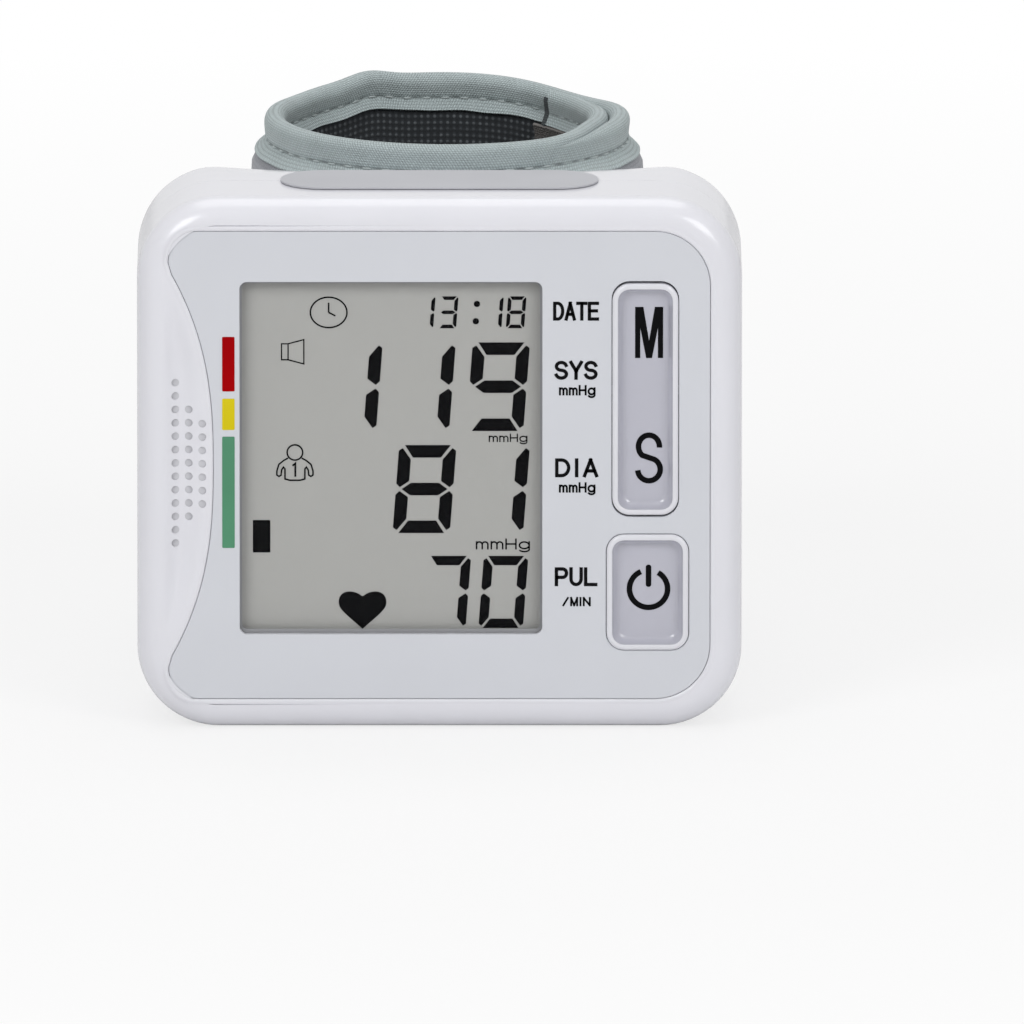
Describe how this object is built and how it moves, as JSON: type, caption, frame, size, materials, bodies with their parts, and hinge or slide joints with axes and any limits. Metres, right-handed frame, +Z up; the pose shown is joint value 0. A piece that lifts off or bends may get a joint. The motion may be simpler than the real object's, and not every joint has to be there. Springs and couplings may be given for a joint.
{
  "type": "wrist blood pressure monitor",
  "caption": "Wrist blood pressure monitor: two-shell housing with display, rocker and power keys, pump and valve inside, on a padded cuff with a swinging strap.",
  "frame": {"origin": "centre of the housing's flat bottom face, half way through the housing's depth", "axes": "+Z up, +X to the right as the display is read, -Y the way the display faces"},
  "size_m": [0.076, 0.0782, 0.0683],
  "materials": {
    "shell_plastic": "glossy moulded white plastic",
    "panel_plastic": "satin bluish grey plate",
    "clear_plastic": "clear moulded plastic",
    "lcd": "grey liquid crystal glass",
    "key_plastic": "glossy lilac grey plastic",
    "board": "green circuit board",
    "dark_plastic": "black moulded plastic",
    "steel": "plain steel",
    "brass": "turned brass",
    "silicone": "translucent silicone",
    "label_film": "silver grey film",
    "cover_fabric": "grey woven fabric",
    "liner_fabric": "charcoal knit",
    "binding_fabric": "ribbed grey green binding tape",
    "cell_jacket": "plain blue cell jacket"
  },
  "bodies": {
    "housing": {"front_shell": "shell_plastic", "rear_shell": "shell_plastic", "lcd_holder": "shell_plastic", "bay_cover": "shell_plastic", "cuff_plate": "shell_plastic", "air_tee": "shell_plastic", "front_panel": "panel_plastic", "display_window": "clear_plastic", "lcd_glass": "lcd", "main_board": "board", "zebra_strip": "dark_plastic", "processor_chip": "dark_plastic", "memory_switch": "dark_plastic", "set_switch": "dark_plastic", "power_switch": "dark_plastic", "speaker": "dark_plastic", "pressure_sensor": "dark_plastic", "pump_head": "dark_plastic", "rocker_pin": "steel", "pump_motor": "steel", "valve_body": "steel", "contact_link": "steel", "contact_tab_plus": "steel", "contact_tab_minus": "steel", "contact_spring_1": "steel", "contact_spring_2": "steel", "case_screw_1": "steel", "case_screw_2": "steel", "case_screw_3": "steel", "case_screw_4": "steel", "plate_screw_1": "steel", "plate_screw_2": "steel", "pump_hose": "silicone", "valve_hose": "silicone", "sensor_hose": "silicone", "cuff_hose": "silicone", "air_bladder": "silicone", "top_label": "label_film", "cuff_cover": "cover_fabric", "cuff_liner": "liner_fabric", "cuff_binding_top": "binding_fabric", "cuff_binding_bottom": "binding_fabric", "battery_cell_1": "cell_jacket", "battery_cell_2": "cell_jacket"},
    "memory_set_rocker": {"memory_set_key": "key_plastic", "memory_set_lens": "clear_plastic"},
    "memory_plunger_body": {"memory_plunger": "dark_plastic"},
    "set_plunger_body": {"set_plunger": "dark_plastic"},
    "power_button": {"power_key": "key_plastic", "power_lens": "clear_plastic"},
    "power_plunger_body": {"power_plunger": "dark_plastic"},
    "door": {"battery_door": "shell_plastic"},
    "crank": {"pump_crank": "steel"},
    "valve_core": {"valve_plunger": "brass"},
    "strap": {"strap_cover": "cover_fabric", "strap_liner": "liner_fabric", "strap_binding_top": "binding_fabric", "strap_binding_bottom": "binding_fabric", "hook_patch": "liner_fabric"}
  },
  "joints": [
    {"name": "rocker_tilt", "type": "hinge", "parent": "housing", "child": "memory_set_rocker", "pos_m": [0.02585, -0.0086, 0.0425], "axis": [1, 0, 0], "range_deg": [-2.2, 2.2], "stiffness_Nm_per_rad": 0.35},
    {"name": "memory_press", "type": "slide", "parent": "housing", "child": "memory_plunger_body", "axis": [0, 1, 0], "range_m": [-0.00036, 0.00036]},
    {"name": "set_press", "type": "slide", "parent": "housing", "child": "set_plunger_body", "axis": [0, 1, 0], "range_m": [-0.00036, 0.00036]},
    {"name": "power_press", "type": "slide", "parent": "housing", "child": "power_button", "axis": [0, 1, 0], "range_m": [0, 0.0006], "stiffness_N_per_m": 2500},
    {"name": "power_switch_press", "type": "slide", "parent": "housing", "child": "power_plunger_body", "axis": [0, 1, 0], "range_m": [0, 0.0006]},
    {"name": "door_pull", "type": "slide", "parent": "housing", "child": "door", "axis": [1, 0, 0], "range_m": [0, 0.02]},
    {"name": "crank_spin", "type": "hinge", "parent": "housing", "child": "crank", "pos_m": [-0.022, 0.0057, 0.0255], "axis": [0, 0, 1], "continuous": true},
    {"name": "valve_lift", "type": "slide", "parent": "housing", "child": "valve_core", "axis": [0, 0, 1], "range_m": [0, 0.0008], "stiffness_N_per_m": 200},
    {"name": "strap_swing", "type": "hinge", "parent": "housing", "child": "strap", "pos_m": [-0.00875, 0.06166, 0.034], "axis": [0, 0, 1], "range_deg": [0, 70]}
  ],
  "couplings": [
    {"joint": "memory_press", "follows": "rocker_tilt", "m_per_rad": -0.009},
    {"joint": "set_press", "follows": "rocker_tilt", "m_per_rad": 0.009},
    {"joint": "power_switch_press", "follows": "power_press", "ratio": 1}
  ]
}
